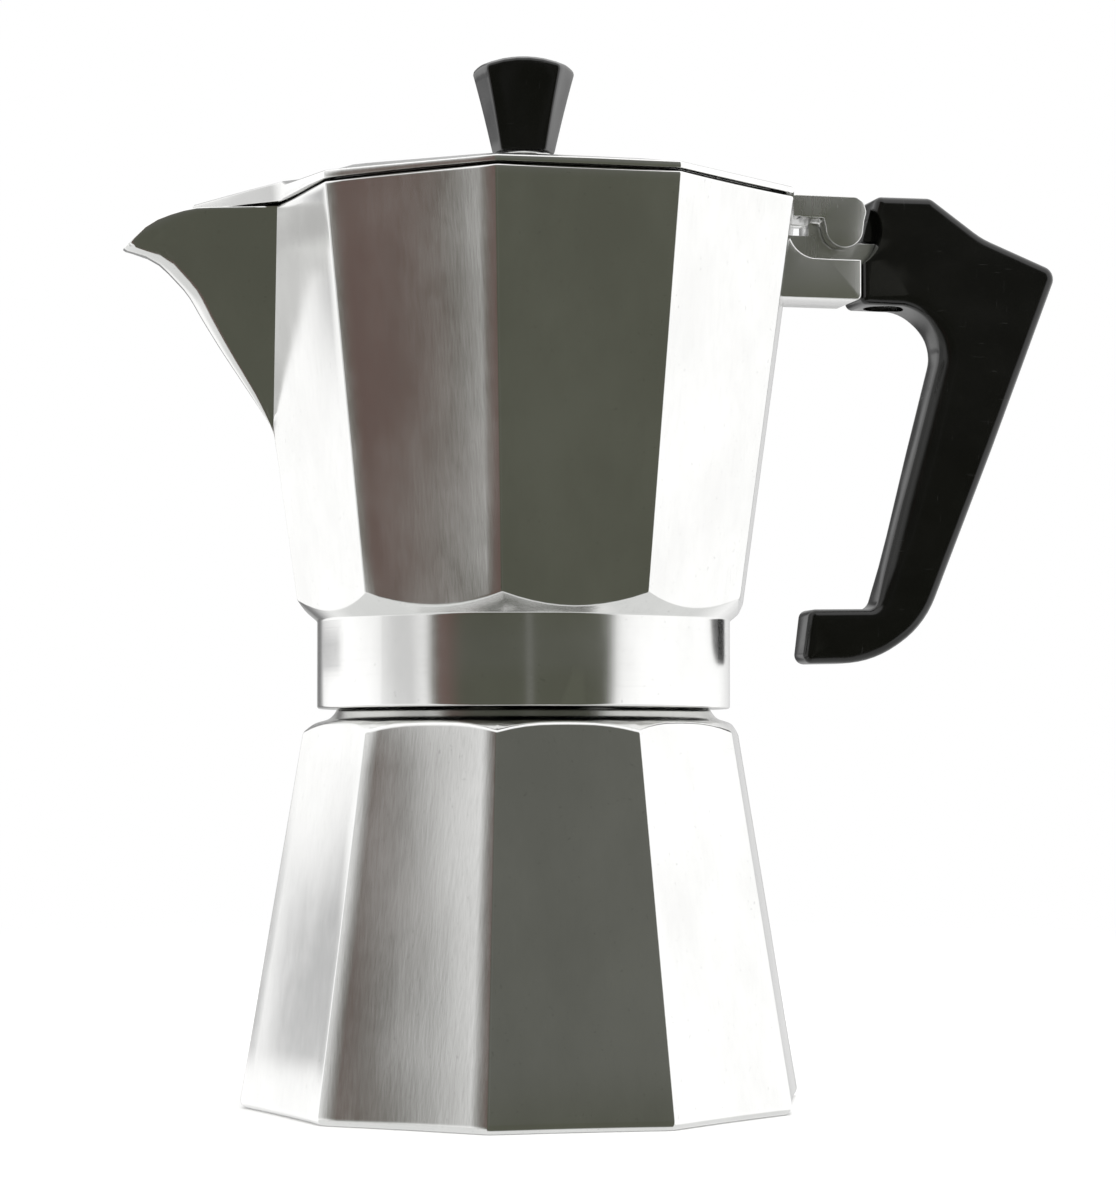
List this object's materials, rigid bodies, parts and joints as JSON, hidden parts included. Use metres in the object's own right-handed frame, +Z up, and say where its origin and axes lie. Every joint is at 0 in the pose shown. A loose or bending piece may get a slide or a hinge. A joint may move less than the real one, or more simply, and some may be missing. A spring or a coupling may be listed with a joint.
{
  "type": "moka pot",
  "caption": "Faceted stovetop moka pot: screwed boiler and jug, hinged beaked lid, black knob and hook handle, coffee funnel, filter plate, gasket and safety valve.",
  "frame": {"origin": "middle of the boiler's flat underside", "axes": "+Z up through the knob, +X towards the handle, -X towards the spout, +Y towards the side with the safety valve"},
  "size_m": [0.1776, 0.1006, 0.1935],
  "materials": {
    "cast_body": "polished cast aluminium with faint brushing",
    "drawn_aluminium": "satin drawn sheet",
    "steel": "bright steel",
    "brass": "turned brass",
    "black_moulding": "glossy black thermoset moulding",
    "seal_rubber": "matte off-white rubber",
    "fibre_seal": "matte red fibre washer"
  },
  "bodies": {
    "boiler_body": {"boiler": "cast_body", "valve_body": "brass", "valve_gasket": "fibre_seal", "valve_seat": "brass", "valve_spring": "steel"},
    "valve_plunger": {"valve_pin": "steel"},
    "funnel_body": {"funnel_basket": "drawn_aluminium", "funnel_stem": "drawn_aluminium", "funnel_screen": "drawn_aluminium"},
    "gasket_body": {"gasket": "seal_rubber"},
    "plate_body": {"filter_plate": "drawn_aluminium"},
    "collector_body": {"collector": "cast_body", "column": "cast_body", "hinge_pin": "steel", "handle": "black_moulding", "handle_washer": "steel", "handle_screw": "steel"},
    "lid_body": {"lid": "cast_body", "knob": "black_moulding", "knob_washer": "steel", "knob_insert": "brass", "knob_screw": "steel"}
  },
  "joints": [
    {"name": "valve_lift", "type": "slide", "parent": "boiler_body", "child": "valve_plunger", "axis": [0.0258, 0.9868, 0.1601], "range_m": [0, 0.0015], "stiffness_N_per_m": 1200, "springref_m": -0.002, "deforming": ["valve_spring"]},
    {"name": "funnel_lift", "type": "slide", "parent": "boiler_body", "child": "funnel_body", "axis": [0, 0, 1], "range_m": [0, 0.085]},
    {"name": "thread_rise", "type": "slide", "parent": "funnel_body", "child": "gasket_body", "axis": [0, 0, 1], "range_m": [0, 0.0046]},
    {"name": "collector_lift", "type": "slide", "parent": "gasket_body", "child": "plate_body", "axis": [0, 0, 1], "range_m": [0, 0.06]},
    {"name": "unscrew", "type": "hinge", "parent": "plate_body", "child": "collector_body", "pos_m": [0, 0, 0.084], "axis": [0, 0, 1], "range_deg": [0, 540]},
    {"name": "lid_hinge", "type": "hinge", "parent": "collector_body", "child": "lid_body", "pos_m": [0.0606, 0, 0.16315], "axis": [0, 1, 0], "range_deg": [0, 90]}
  ],
  "couplings": [
    {"joint": "thread_rise", "follows": "unscrew", "m_per_rad": 0.00047746}
  ]
}
